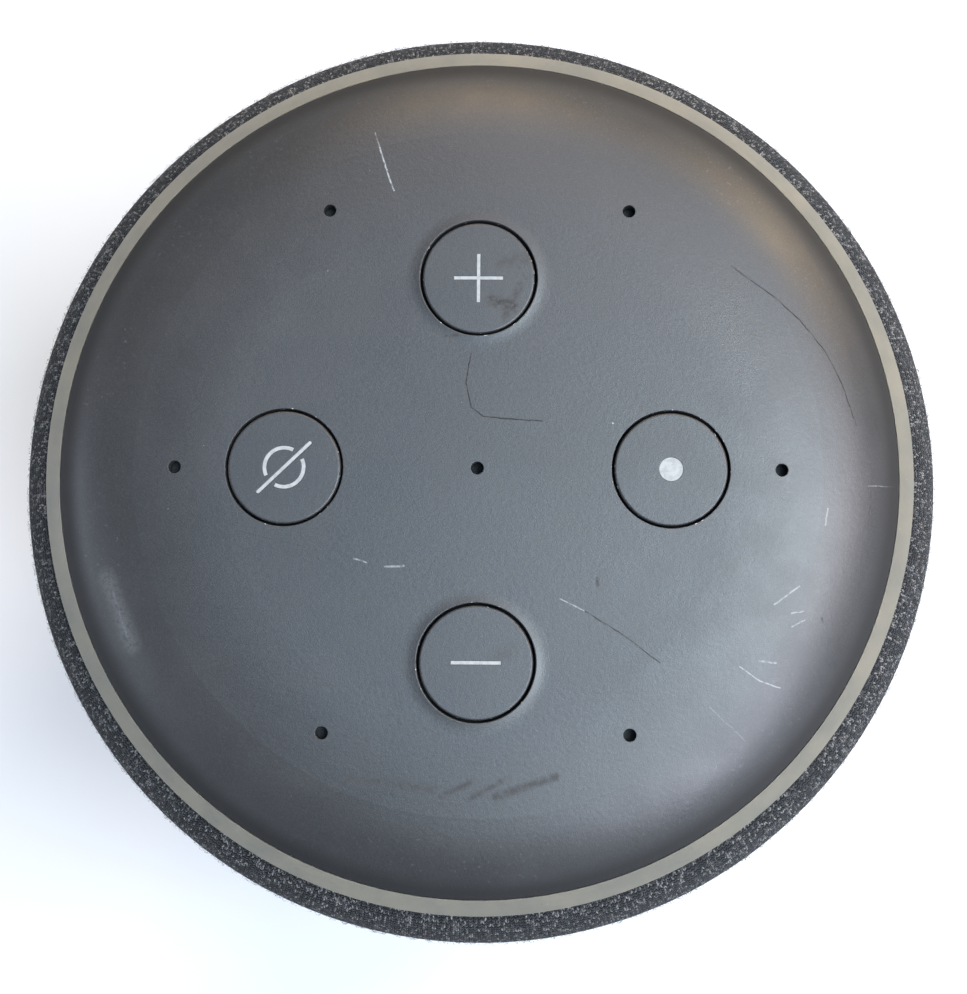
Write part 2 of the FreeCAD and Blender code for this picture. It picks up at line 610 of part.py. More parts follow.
face = new_body("tweeter_faceplate")
turn(face, [(10.6, TW), (T + 0.8, TW), (T + 0.8, TW + 2.4), (10.6, TW + 2.4)])

t_dome = new_body("tweeter_dome")
turn(t_dome, [(0, TW + 0.2), (0, TW + 0.6, 16.97, 1), (8.7, TW + 3.0), (8.7, TW + 6.4), (9.1, TW + 6.4), (9.1, TW + 2.6, 18.45, -1)])

t_surround = new_body("tweeter_surround")
turn(t_surround, [(9.1, TW + 2.6), (9.1, TW + 3.1), (10.5, TW + 3.3), (12.6, TW + 2.8), (12.6, TW + 2.4), (10.5, TW + 2.4), (10.5, TW + 2.8)])

# --------------------------------------------------------------- inner shell
shell = new_body("inner_shell")
wall_in = S.shell_radius - S.shell_wall
turn(shell, [(wall_in, S.shell_low), (S.shell_radius, S.shell_low), (S.shell_radius, S.shell_high), (wall_in, S.shell_high)])
BOSSES = ring_places(43.2, 4, 45)
pad(shell, lambda sk: circles(sk, BOSSES, 3.9), S.shell_low, 9.0)
pocket(shell, lambda sk: circles(sk, BOSSES, 1.4), S.shell_low, 8, flip=True)
slots = pocket(shell, lambda sk: slot(sk, -S.slot_wide / 2, S.slot_wide / 2, S.slot_low, S.slot_high), 0, 60, plane="XZ_Plane")
around(shell, slots, 28)
PORT_LOW, PORT_HIGH, PORT_HALF = 5.6, 20.8, 17.0


def draw_port(grow, low=PORT_LOW, high=PORT_HIGH):
    def draw(sk):
        a, z0, z1, r = PORT_HALF + grow, low - grow, high + grow, 3.0 + grow
        loop(sk, [(-a + r, z0), (a - r, z0, r, 1), (a, z0 + r), (a, z1 - r, r, 1), (a - r, z1), (-a + r, z1, r, 1),
                  (-a, z1 - r), (-a, z0 + r, r, 1)])
    return draw


pocket(shell, draw_port(0.0), 0, 60, plane="XZ_Plane")

# -------------------------------------------------------------- fabric sleeve
# Closed tube of knit that rolls over the shoulder and tucks in at the foot.
sleeve = new_body("fabric_sleeve")
turn(sleeve, [
    (S.shell_radius, S.sleeve_foot), (S.shell_radius + 0.4, S.sleeve_foot, 0.8, 1), (S.sleeve_radius, S.sleeve_foot + 0.8),
    (S.sleeve_radius, SIDE_TOP, S.shoulder_radius, 1), (S.sleeve_edge_radius, SIDE_TOP + edge_out),
    (S.sleeve_edge_radius, SIDE_TOP + edge_in, INNER_ARC, -1), (S.shell_radius, SIDE_TOP)])
pocket(sleeve, draw_port(0.0), 0, 60, plane="XZ_Plane")

# ----------------------------------------------------------------- base end
base = new_body("base_plate")
turn(base, [(0, 1.0), (S.base_radius - 1.0, 1.0), (S.base_radius, 2.0), (S.base_radius, S.shell_low), (0, S.shell_low)])
groove(base, [(S.foot_in, 0.0), (S.foot_out, 0.0), (S.foot_out, S.foot_thick), (S.foot_in, S.foot_thick)])
pocket(base, lambda sk: circles(sk, BOSSES, 1.7), 6.0, 8)
pocket(base, lambda sk: circles(sk, BOSSES, 2.7), 1.0, 2.1, flip=True)
# Shallow round recess for the rating plate.
pocket(base, lambda sk: circles(sk, [(0, 0)], S.plate_radius), 1.0, 0.3, flip=True)
IO_POSTS = [(-13.0, 30.0), (13.0, 30.0), (-13.0, 41.0), (13.0, 41.0)]
pad(base, lambda sk: circles(sk, IO_POSTS, 1.8), S.shell_low - 0.5, 3.5)

foot = new_body("rubber_foot")
turn(foot, [(S.foot_in, 0.4), (S.foot_in + 0.4, 0.0), (S.foot_out - 0.4, 0.0), (S.foot_out, 0.4), (S.foot_out, S.foot_thick), (S.foot_in, S.foot_thick)])

base_screws = new_body("base_screws")
pad(base_screws, lambda sk: circles(sk, BOSSES, 1.4), 2.9, 7.6)
pad(base_screws, lambda sk: circles(sk, BOSSES, 2.5), 1.7, 1.4)
pocket(base_screws, lambda sk: circles(sk, BOSSES, 1.1), 1.7, 0.9, flip=True)

cone_body = new_body("reflector_cone")
turn(cone_body, [(0, S.shell_low), (24.0, S.shell_low), (24.0, 5.2, 26.0, -1), (2.0, 23.0, 2.5, 1), (0, 24.0)])

# --------------------------------------------------------------- sockets
io_board = new_body("io_board")
pad(io_board, lambda sk: rect(sk, -15.5, 15.5, 27.0, 42.8), 7.0, S.board_thick)

dc_jack = new_body("dc_jack")
X0 = -S.port_x
JACK_FACE = dim(44.2)
pad(dc_jack, lambda sk: rect(sk, X0 - 4.7, X0 + 4.7, 8.6, 17.9), -JACK_FACE, 13.0, plane="XZ_Plane")
pocket(dc_jack, lambda sk: circles(sk, [(X0, S.port_z)], S.power_bore), -JACK_FACE, S.power_mouth, plane="XZ_Plane", flip=True)
pocket(dc_jack, lambda sk: circles(sk, [(X0, S.port_z)], 2.6), -JACK_FACE + S.power_mouth - 0.1, 7.0, plane="XZ_Plane", flip=True)
pad(dc_jack, lambda sk: circles(sk, [(X0, S.port_z)], 1.0), -JACK_FACE + S.power_mouth + 0.6, 8.0, plane="XZ_Plane")

audio_jack = new_body("audio_jack")
pad(audio_jack, lambda sk: rect(sk, S.port_x - 3.6, S.port_x + 3.6, 8.6, 17.4), -JACK_FACE, 16.0, plane="XZ_Plane")
pocket(audio_jack, lambda sk: circles(sk, [(S.port_x, S.port_z)], S.audio_bore), -JACK_FACE, S.audio_depth, plane="XZ_Plane", flip=True)

# Panel in the opening of the fabric, with one hole for each plug.
bezel = new_body("port_bezel")
turn(bezel, [(46.0, 2.0), (49.2, 2.0), (49.2, 30.0), (46.0, 30.0)])


def draw_outside(sk):
    draw_port(-0.08)(sk)
    loop(sk, [(-60, -10), (60, -10), (60, 60), (-60, 60)])


pocket(bezel, draw_outside, 0, 60, plane="XZ_Plane", both=True)
pocket(bezel, lambda sk: rect(sk, -60.0, 60.0, -10.0, 60.0), 0, 60, plane="XZ_Plane", flip=True)
pocket(bezel, lambda sk: circles(sk, [(X0, S.port_z)], 4.0), 0, 60, plane="XZ_Plane")
pocket(bezel, lambda sk: circles(sk, [(S.port_x, S.port_z)], 3.2), 0, 60, plane="XZ_Plane")

# ------------------------------------------------------------------- checks
doc.recompute()
for obj in doc.Objects:
    if any(word in ("Invalid", "Error") for word in obj.State):
        raise RuntimeError("failed object: " + obj.Label)
labels = [body.Label for body in PARTS]
if len(set(labels)) != len(labels) or len(labels) > 60:
    raise RuntimeError("label clash or too many parts")
for body in PARTS:
    shape = body.Shape
    if shape.isNull() or not shape.isValid() or not shape.Solids:
        raise RuntimeError("bad shape: " + body.Label)

os.makedirs("parts", exist_ok=True)
for body in PARTS:
    body.Shape.exportStep("parts/" + body.Label + ".step")
    print(body.Label, len(body.Shape.Solids), round(body.Shape.Volume, 2))
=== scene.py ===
import json
import math
import random

import bmesh
import bpy
from mathutils import Matrix, Vector


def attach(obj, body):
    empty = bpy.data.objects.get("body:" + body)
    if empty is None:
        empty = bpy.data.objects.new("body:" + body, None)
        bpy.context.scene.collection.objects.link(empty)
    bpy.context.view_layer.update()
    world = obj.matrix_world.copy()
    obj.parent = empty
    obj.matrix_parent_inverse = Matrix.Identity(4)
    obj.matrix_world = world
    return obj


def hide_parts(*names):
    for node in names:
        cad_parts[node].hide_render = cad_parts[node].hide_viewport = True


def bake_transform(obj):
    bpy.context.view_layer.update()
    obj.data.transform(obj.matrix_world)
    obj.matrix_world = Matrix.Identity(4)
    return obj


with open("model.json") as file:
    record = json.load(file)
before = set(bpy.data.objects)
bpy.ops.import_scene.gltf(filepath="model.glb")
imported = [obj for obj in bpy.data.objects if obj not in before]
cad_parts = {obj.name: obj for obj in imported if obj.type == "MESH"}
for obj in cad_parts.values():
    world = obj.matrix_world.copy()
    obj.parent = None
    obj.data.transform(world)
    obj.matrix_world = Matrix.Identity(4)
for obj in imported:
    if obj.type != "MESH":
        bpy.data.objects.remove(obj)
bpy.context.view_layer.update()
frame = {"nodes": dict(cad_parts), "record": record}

NODES = frame["nodes"]
MM = 0.001


# ------------------------------------------------------------------ node help
class Mat:
    """A material and short names for the nodes that make it."""

    def __init__(self, name):
        self.mat = bpy.data.materials.new(name)
        self.mat.use_nodes = True
        self.nt = self.mat.node_tree
        self.nt.nodes.clear()
        self.out = self.nt.nodes.new("ShaderNodeOutputMaterial")
        self.bsdf = self.nt.nodes.new("ShaderNodeBsdfPrincipled")
        self.nt.links.new(self.bsdf.outputs[0], self.out.inputs[0])
        self._pos = None

    def set(self, **values):
        for key, value in values.items():
            socket = self.bsdf.inputs[key.replace("_", " ")]
            if hasattr(value, "is_output"):
                self.nt.links.new(value, socket)
            elif isinstance(value, tuple) and len(value) == 3 and socket.type == "RGBA":
                socket.default_value = (*value, 1)
            else:
                socket.default_value = value
        return self

    def node(self, kind, **props):
        n = self.nt.nodes.new(kind)
        for key, value in props.items():
            setattr(n, key, value)
        return n

    def feed(self, socket, value):
        if hasattr(value, "is_output"):
            self.nt.links.new(value, socket)
        elif isinstance(value, tuple) and socket.type == "RGBA" and len(value) == 3:
            socket.default_value = (*value, 1)
        else:
            socket.default_value = value

    def math(self, op, a, b=0.0, c=0.0, clamp=False):
        n = self.node("ShaderNodeMath", operation=op, use_clamp=clamp)
        for socket, value in zip(n.inputs, (a, b, c)):
            self.feed(socket, value)
        return n.outputs[0]

    def vec(self, op, a, b=(0, 0, 0), scale=None):
        n = self.node("ShaderNodeVectorMath", operation=op)
        self.feed(n.inputs[0], a)
        self.feed(n.inputs[1], b)
        if scale is not None:
            self.feed(n.inputs["Scale"], scale)
        return n.outputs["Value"] if op in ("LENGTH", "DOT_PRODUCT", "DISTANCE") else n.outputs[0]

    def pos(self):
        """Place on the object in millimetres."""
        if self._pos is None:
            tc = self.node("ShaderNodeTexCoord")
            self._pos = self.vec("SCALE", tc.outputs["Object"], scale=1000.0)
        return self._pos

    def xyz(self, v):
        n = self.node("ShaderNodeSeparateXYZ")
        self.feed(n.inputs[0], v)
        return n.outputs

    def join(self, x, y, z):
        n = self.node("ShaderNodeCombineXYZ")
        for socket, value in zip(n.inputs, (x, y, z)):
            self.feed(socket, value)
        return n.outputs[0]

    def noise(self, scale, detail=3.0, rough=0.5, vector=None, stretch=None, offset=(0, 0, 0), warp=0.0):
        v = self.pos() if vector is None else vector
        if stretch is not None:
            v = self.vec("MULTIPLY", v, stretch)
        if offset != (0, 0, 0):
            v = self.vec("ADD", v, offset)
        n = self.node("ShaderNodeTexNoise")
        self.feed(n.inputs["Vector"], v)
        n.inputs["Scale"].default_value = scale
        n.inputs["Detail"].default_value = detail
        n.inputs["Roughness"].default_value = rough
        n.inputs["Distortion"].default_value = warp
        return n.outputs["Fac"]

    def white(self, vector):
        n = self.node("ShaderNodeTexWhiteNoise")
        self.feed(n.inputs["Vector"], vector)
        return n.outputs["Value"]

    def range(self, value, a, b, to0=0.0, to1=1.0, smooth=True):
        n = self.node("ShaderNodeMapRange", interpolation_type="SMOOTHSTEP" if smooth else "LINEAR")
        for key, item in (("Value", value), ("From Min", a), ("From Max", b), ("To Min", to0), ("To Max", to1)):
            self.feed(n.inputs[key], item)
        return n.outputs[0]

    def mix(self, fac, a, b):
        n = self.node("ShaderNodeMix", data_type="RGBA")
        self.feed(n.inputs["Factor"], fac)
        self.feed(n.inputs[6], a)
        self.feed(n.inputs[7], b)
        return n.outputs[2]

    def ramp(self, fac, stops):
        n = self.node("ShaderNodeValToRGB")
        self.feed(n.inputs[0], fac)
        while len(n.color_ramp.elements) < len(stops):
            n.color_ramp.elements.new(0.5)
        for e, (at, colour) in zip(n.color_ramp.elements, stops):
            e.position = at
            e.color = (*colour, 1)
        return n.outputs[0]

    def bump(self, height, distance, strength=1.0, normal=None):
        """height runs 0 to 1 over `distance` metres."""
        n = self.node("ShaderNodeBump")
        n.inputs["Strength"].default_value = strength
        n.inputs["Distance"].default_value = distance
        self.feed(n.inputs["Height"], height)
        if normal is not None:
            self.feed(n.inputs["Normal"], normal)
        return n.outputs[0]


def srgb(r, g, b):
    return tuple(((c / 255) / 12.92) if c / 255 <= 0.04045 else (((c / 255 + 0.055) / 1.055) ** 2.4) for c in (r, g, b))


def marks_group():
    """Mask of a thin line between A and B, seen from above: 1 on the line."""
    g = bpy.data.node_groups.new("line_mark", "ShaderNodeTree")
    for name, kind in (("P", "NodeSocketVector"), ("A", "NodeSocketVector"), ("B", "NodeSocketVector"), ("Width", "NodeSocketFloat")):
        g.interface.new_socket(name, in_out="INPUT", socket_type=kind)
    g.interface.new_socket("Mask", in_out="OUTPUT", socket_type="NodeSocketFloat")
    i, o = g.nodes.new("NodeGroupInput"), g.nodes.new("NodeGroupOutput")

    def vm(op, a, b=None, scale=None):
        n = g.nodes.new("ShaderNodeVectorMath")
        n.operation = op
        g.links.new(a, n.inputs[0])
        if b is not None:
            g.links.new(b, n.inputs[1])
        if scale is not None:
            g.links.new(scale, n.inputs["Scale"])
        return n.outputs["Value"] if op in ("LENGTH", "DOT_PRODUCT") else n.outputs[0]

    # Each node is made after the ones it reads, which keeps the shader's stack short.
    pa, ba = vm("SUBTRACT", i.outputs["P"], i.outputs["A"]), vm("SUBTRACT", i.outputs["B"], i.outputs["A"])
    along, length = vm("DOT_PRODUCT", pa, ba), vm("DOT_PRODUCT", ba, ba)
    d = g.nodes.new("ShaderNodeMath")
    d.operation = "DIVIDE"
    d.use_clamp = True
    g.links.new(along, d.inputs[0])
    g.links.new(length, d.inputs[1])
    nearest = vm("SCALE", ba, scale=d.outputs[0])
    away = vm("LENGTH", vm("SUBTRACT", pa, nearest))
    half = g.nodes.new("ShaderNodeMath")
    half.operation = "MULTIPLY"
    half.inputs[1].default_value = 0.1
    g.links.new(i.outputs["Width"], half.inputs[0])
    r = g.nodes.new("ShaderNodeMapRange")
    r.interpolation_type = "SMOOTHSTEP"
    g.links.new(away, r.inputs["Value"])
    g.links.new(i.outputs["Width"], r.inputs["From Min"])
    g.links.new(half.outputs[0], r.inputs["From Max"])
    g.links.new(r.outputs[0], o.inputs[0])
    return g


LINE = marks_group()


def line_marks(m, runs, wobble):
    """Greatest of the masks of many polylines, each (points in mm, width, strength)."""
    total = None
    for points, width, strength in runs:
        for (x0, y0), (x1, y1) in zip(points, points[1:]):
            n = m.node("ShaderNodeGroup", node_tree=LINE)
            m.feed(n.inputs["P"], wobble)
            n.inputs["A"].default_value = (x0, y0, 0)
            n.inputs["B"].default_value = (x1, y1, 0)
            n.inputs["Width"].default_value = width
            one = m.math("MULTIPLY", n.outputs[0], strength)
            total = one if total is None else m.math("MAXIMUM", total, one)
    return total


BUTTONS = {"volume_up": (0.0, 19.55), "volume_down": (0.0, -19.55), "mute": (-19.55, 0.0), "action": (19.55, 0.0)}

# Pale handling marks of a used speaker, and last a painted highlight streak on the
# west shoulder: (points in millimetres on the cover, half width in millimetres, strength).
PALE = [
    ([(-10.89, 35.09), (-10.32, 33.36)], 0.10, 0.40),
    ([(-10.32, 33.36), (-9.31, 30.01), (-8.78, 28.74)], 0.13, 0.70),
    ([(-12.33, -9.21), (-11.11, -9.60)], 0.12, 0.42),
    ([(-9.20, -10.05), (-7.29, -9.93)], 0.16, 0.42),
    ([(8.38, -13.14), (10.88, -14.32)], 0.10, 0.45),
    ([(29.88, -13.49), (32.43, -11.66)], 0.12, 0.42),
    ([(31.61, -14.37), (32.75, -14.16)], 0.11, 0.38),
    ([(31.62, -15.77), (32.96, -15.05)], 0.11, 0.38),
    ([(26.34, -19.78), (28.37, -21.16), (30.45, -21.85)], 0.11, 0.48),
    ([(28.36, -19.17), (30.00, -19.36)], 0.14, 0.40),
    ([(35.38, -3.78), (35.16, -5.50)], 0.13, 0.36),
    ([(23.33, -23.76), (26.95, -27.15)], 0.09, 0.16),
    ([(39.75, -1.38), (43.02, -1.29)], 0.07, 0.40),
    ([(13.61, 4.66), (13.68, 4.62)], 0.10, 0.80),
    ([(22.48, -2.04), (22.52, -2.24)], 0.11, 0.80),
    # The last two runs are a painted highlight on the west shoulder, not handling marks.
    ([(-37.66, -11.25), (-35.03, -18.02)], 1.50, 0.10),
    ([(-36.99, -12.67), (-35.46, -17.11)], 0.30, 0.16),
]
DARK = [
    ([(-0.73, 11.76), (-1.21, 8.77), (-0.68, 6.21), (0.54, 5.30), (2.26, 5.10), (6.51, 4.82)], 0.11, 0.80),
    ([(25.86, 20.94), (27.59, 19.72)], 0.16, 0.42),
    ([(27.59, 19.72), (30.26, 17.81), (32.82, 15.49), (35.40, 12.36), (37.03, 9.31), (38.54, 4.82)], 0.11, 0.70),
    ([(10.88, -14.32), (14.57, -16.59), (18.36, -19.44)], 0.10, 0.60),
    ([(12.07, -11.01), (12.17, -11.71)], 0.28, 0.35),
    ([(-3.28, 13.50), (-2.06, 13.61)], 0.30, 0.40),
    ([(-24.39, -6.40), (-17.28, -8.08)], 0.10, 0.40),
    ([(34.76, -14.83), (34.82, -15.33)], 0.16, 0.50),
    ([(40.08, -1.98), (39.72, -5.66)], 0.10, 0.45),
    ([(-14.25, -32.36), (-12.24, -31.13)], 0.50, 0.34),
    ([(-12.24, -31.13), (-4.26, -32.04)], 0.95, 0.30),
    ([(-3.47, -32.82), (-0.50, -31.42)], 0.50, 0.34),
    ([(-0.49, -32.99), (2.68, -31.19)], 0.50, 0.34),
    ([(2.09, -32.77), (8.03, -30.76)], 0.70, 0.36),
]
CAP_DARK = [
    ([(2.16, 21.21), (5.02, 21.64)], 1.30, 0.28),
    ([(1.47, 17.25), (3.41, 16.64)], 1.20, 0.55),
    ([(2.71, 15.39), (3.72, 17.26), (4.22, 18.82)], 0.70, 0.40),
    ([(3.39, 21.95), (5.24, 18.83)], 0.22, 0.25),
    ([(1.91, -19.26), (3.40, -18.25)], 1.40, 0.16),
]


# ------------------------------------------------------------------ materials
def cover_material(name, plain=False):
    """Satin charcoal moulded plastic, handled for years. `plain` is a button's cap."""
    m = Mat(name)
    p = m.pos()
    x, y, z = m.xyz(p)
    flat = m.join(x, y, 0.0)
    r2 = m.math("ADD", m.math("MULTIPLY", x, x), m.math("MULTIPLY", y, y))
    radius = m.math("SQRT", r2)
    broad = m.noise(0.045, 4.0, 0.55, vector=flat)
    cloud = m.noise(0.22, 5.0, 0.6, vector=flat, offset=(31, 7, 3))
    grain = m.noise(8.0, 2.0, 0.6)
    peel = m.noise(1.9, 2.0, 0.5, vector=flat, offset=(5, 17, 9))
    colour = m.mix(m.range(broad, 0.35, 0.68), srgb(49, 50, 51), srgb(54, 54, 55))
    colour = m.mix(m.math("MULTIPLY", m.range(grain, 0.38, 0.70), 0.45), colour, srgb(76, 77, 79))
    rough = m.range(cloud, 0.3, 0.72, 0.37, 0.43)
    # A few specks of dust, in patches.
    speck = m.noise(3.1, 1.0, 0.4, vector=flat, offset=(5, 17, 9))
    patch = m.range(m.noise(0.11, 2.0, 0.5, vector=flat, offset=(8, 3, 2)), 0.48, 0.62)
    dust = m.math("MULTIPLY", m.math("MULTIPLY", m.range(speck, 0.80, 0.84), patch), 0.5)
    # Nearest volume button, then nearest of all four.
    away = {key: m.vec("DISTANCE", flat, (bx, by, 0)) for key, (bx, by) in BUTTONS.items()}
    volume = m.math("MINIMUM", away["volume_up"], away["volume_down"])
    nearest = m.math("MINIMUM", volume, m.math("MINIMUM", away["mute"], away["action"]))
    shake = m.node("ShaderNodeTexNoise")
    m.feed(shake.inputs["Vector"], flat)
    shake.inputs["Scale"].default_value = 0.9
    wobble = m.vec("ADD", flat, m.vec("SCALE", m.vec("SUBTRACT", shake.outputs["Color"], (0.5, 0.5, 0.5)), scale=0.22))
    wobble = m.vec("MULTIPLY", wobble, (1, 1, 0))
    broken = m.range(m.noise(2.2, 3.0, 0.7, vector=flat), 0.36, 0.56, 0.22, 1.0)
    if plain:
        mottle = m.range(m.noise(1.3, 4.0, 0.7, vector=flat), 0.36, 0.6, 0.25, 1.0)
        dark = m.math("MULTIPLY", line_marks(m, CAP_DARK, wobble), mottle)
        # Painted shade: a cap's sides, down in the gap, go near black.
        sunk = m.range(z, 147.88 - 0.16, 147.88 - 0.42)
    else:
        pale = m.math("MULTIPLY", line_marks(m, PALE, wobble), broken)
        streaky = m.range(m.noise(0.9, 4.0, 0.7, vector=flat), 0.36, 0.58, 0.45, 1.0)
        dark = m.math("MULTIPLY", line_marks(m, DARK, wobble), streaky)
        # Rubbed shoulder: fine flecks near the rim.
        rub = m.math("MULTIPLY", m.range(m.noise(2.2, 4.0, 0.7, vector=flat, offset=(1, 2, 3)), 0.60, 0.70), m.range(radius, 34.5, 39.0))
        rub = m.math("MULTIPLY", rub, m.range(m.noise(0.09, 2.0, 0.5, vector=flat, offset=(6, 6, 6)), 0.42, 0.62, 0.03, 0.20))
        colour = m.mix(rub, colour, srgb(150, 152, 154))
        # Pale marks: scratches, and the painted highlight streak on the west shoulder.
        colour = m.mix(pale, colour, srgb(190, 193, 195))
        rough = m.math("ADD", rough, m.math("MULTIPLY", pale, 0.1))
        beyond = m.math("MAXIMUM", m.math("SUBTRACT", radius, 26.0), 0.0)
        surface = m.math("SUBTRACT", 148.0, m.math("MULTIPLY", r2, 0.25 / 961.0))
        surface = m.math("SUBTRACT", surface, m.math("MULTIPLY", m.math("MULTIPLY", beyond, beyond), 1.0 / 150.0))
        depth = m.math("SUBTRACT", surface, z)
        sunk = m.math("MULTIPLY", m.range(depth, 0.12, 0.45), m.math("LESS_THAN", radius, 32.4))
        # Painted shade: the rim, next to the light guide, is painted near black and made rougher.
        rim = m.range(radius, 40.7, 42.8)
        colour = m.mix(m.math("MULTIPLY", rim, 0.93), colour, srgb(9, 9, 10))
        rough = m.math("ADD", rough, m.math("MULTIPLY", rim, 0.24))
    colour = m.mix(dust, colour, srgb(150, 153, 156))
    colour = m.mix(dark, colour, srgb(10, 10, 11))
    rough = m.math("ADD", rough, m.math("MULTIPLY", dark, 0.75), clamp=True)
    # Painted shade: inside the gaps and the sound holes the colour goes near black, with lint at the edge.
    colour = m.mix(sunk, colour, (0.0012, 0.0012, 0.0014))
    rough = m.math("ADD", rough, m.math("MULTIPLY", sunk, 0.5), clamp=True)
    lint = m.math("MULTIPLY", m.range(m.math("ABSOLUTE", m.math("SUBTRACT", nearest, 5.86)), 0.24, 0.17), m.range(m.noise(2.4, 1.0, 0.5, offset=(2, 2, 7)), 0.69, 0.73))
    lint = m.math("MULTIPLY", lint, m.range(z, 147.1, 147.5))
    colour = m.mix(m.math("MULTIPLY", lint, 0.8), colour, srgb(205, 206, 205))
    edge = m.node("ShaderNodeBevel", samples=4)
    edge.inputs["Radius"].default_value = 0.13 * MM
    height = m.math("ADD", m.math("MULTIPLY", grain, 0.5), m.math("MULTIPLY", peel, 0.5))
    normal = m.bump(height, 0.034 * MM, 0.8, normal=edge.outputs[0])
    m.set(Base_Color=colour, Roughness=rough, IOR=1.5, Specular_IOR_Level=0.75, Normal=normal)
    return m.mat


def legend_material():
    m = Mat("legend_white")
    worn = m.noise(2.0, 3.0, 0.6)
    m.set(Base_Color=m.mix(m.range(worn, 0.35, 0.7), srgb(170, 172, 172), srgb(152, 155, 155)), Roughness=m.range(worn, 0.3, 0.7, 0.42, 0.6),
          Normal=m.bump(m.noise(8.0, 2.0, 0.5), 0.01 * MM, 0.5))
    return m.mat


def ring_material():
    """Unlit light guide: milky, a little yellowed, with rubbed spots."""
    m = Mat("milky_light_guide")
    p = m.pos()
    blotch = m.noise(0.16, 4.0, 0.6)
    rub = m.noise(1.7, 4.0, 0.7)
    colour = m.mix(m.range(blotch, 0.3, 0.7), srgb(122, 120, 111), srgb(136, 131, 118))
    colour = m.mix(m.math("MULTIPLY", m.range(rub, 0.68, 0.75), 0.5), colour, srgb(188, 188, 182))
    colour = m.mix(m.math("MULTIPLY", m.range(m.noise(1.1, 5.0, 0.7, offset=(4, 9, 1)), 0.64, 0.73), 0.4), colour, srgb(92, 91, 85))
    m.set(Base_Color=colour, Roughness=m.range(rub, 0.3, 0.7, 0.32, 0.5), IOR=1.49, Subsurface_Weight=0.35,
          Subsurface_Radius=(1.0, 1.0, 0.9), Subsurface_Scale=0.0012, Specular_IOR_Level=0.5,
          Normal=m.bump(m.noise(4.0, 3.0, 0.6), 0.012 * MM, 0.6))
    return m.mat


WALES = 620
COURSE = 0.50


def knit_material():
    """Heather knit: two-legged stitches in columns, light and dark yarns mixed."""
    m = Mat("heather_knit")
    uv = m.node("ShaderNodeUVMap", uv_map="cloth")
    u, v, _ = m.xyz(m.vec("MULTIPLY", uv.outputs[0], (float(WALES), 1000.0 / COURSE, 1.0)))
    wander = m.noise(0.35, 2.0, 0.5)
    v = m.math("ADD", v, m.math("MULTIPLY", wander, 0.9))
    cell_u = m.math("FLOOR", u)
    fu = m.math("SUBTRACT", u, cell_u)
    side = m.math("ABSOLUTE", m.math("SUBTRACT", m.math("MULTIPLY", fu, 2.0), 1.0))
    lean = m.math("ADD", v, m.math("MULTIPLY", side, 0.62))
    cell_v = m.math("FLOOR", lean)
    fv = m.math("SUBTRACT", lean, cell_v)
    across = m.math("SINE", m.math("MULTIPLY", fv, math.pi))
    leg = m.math("SINE", m.math("MULTIPLY", m.math("FRACT", m.math("MULTIPLY", fu, 2.0)), math.pi))
    height = m.math("MULTIPLY", m.math("POWER", across, 0.7), m.math("POWER", leg, 0.6))
    fibre = m.noise(7.0, 3.0, 0.7, stretch=(1.0, 1.0, 0.6))
    which = m.white(m.join(m.math("FLOOR", m.math("MULTIPLY", fu, 2.0)), cell_v, cell_u))
    blend = m.noise(1.15, 3.0, 0.75, stretch=(1.0, 1.0, 1.6), warp=0.4)
    tone = m.math("ADD", m.math("MULTIPLY", which, 0.60), m.math("MULTIPLY", m.range(blend, 0.34, 0.68, smooth=False), 0.40))
    tone = m.math("ADD", tone, m.math("MULTIPLY", m.math("SUBTRACT", fibre, 0.5), 0.60))
    colour = m.ramp(tone, [(0.30, srgb(12, 12, 13)), (0.50, srgb(29, 29, 30)), (0.65, srgb(76, 75, 75)), (0.84, srgb(160, 158, 155))])
    # Painted shade: the colour darkens in the gaps between the stitch legs.
    stitch_gap_shade = m.range(height, 0.08, 0.60, 0.10, 1.0)
    shade = m.node("ShaderNodeMix", data_type="RGBA", blend_type="MULTIPLY")
    shade.inputs["Factor"].default_value = 1.0
    m.feed(shade.inputs[6], colour)
    m.feed(shade.inputs[7], m.join(stitch_gap_shade, stitch_gap_shade, stitch_gap_shade))
    relief = m.math("ADD", height, m.math("MULTIPLY", fibre, 0.45))
    m.set(Base_Color=shade.outputs[2], Roughness=0.92, Specular_IOR_Level=0.2, Sheen_Weight=0.22, Sheen_Roughness=0.45,
          Sheen_Tint=srgb(190, 193, 198), Normal=m.bump(relief, 0.22 * MM, 0.95))
    return m.mat


def plastic(name, dark, light, rough=(0.45, 0.6), grain=5.0, relief=0.02, **extra):
    """Moulded plastic or rubber with a spark-eroded grain and slight variation."""
    m = Mat(name)
    broad = m.noise(0.12, 3.0, 0.5)
    fine = m.noise(grain, 3.0, 0.6)
    colour = m.mix(m.range(broad, 0.3, 0.7), dark, light)
    scuff = m.math("MULTIPLY", m.range(m.noise(0.9, 5.0, 0.7, offset=(3, 5, 8)), 0.64, 0.74), 0.25)
    colour = m.mix(scuff, colour, tuple(min(1.0, c * 3 + 0.02) for c in light))
    m.set(Base_Color=colour, Roughness=m.range(fine, 0.3, 0.7, *rough), Normal=m.bump(fine, relief * MM, 0.6), **extra)
    return m.mat


def metal(name, colour, rough=(0.25, 0.45), stretch=(1, 1, 1), scale=6.0):
    m = Mat(name)
    brushed = m.noise(scale, 4.0, 0.6, stretch=stretch)
    stain = m.noise(0.5, 4.0, 0.6)
    m.set(Base_Color=m.mix(m.range(stain, 0.3, 0.75), colour, tuple(c * 0.72 for c in colour)), Metallic=1.0,
          Roughness=m.range(brushed, 0.3, 0.7, *rough), Normal=m.bump(brushed, 0.01 * MM, 0.5))
    return m.mat


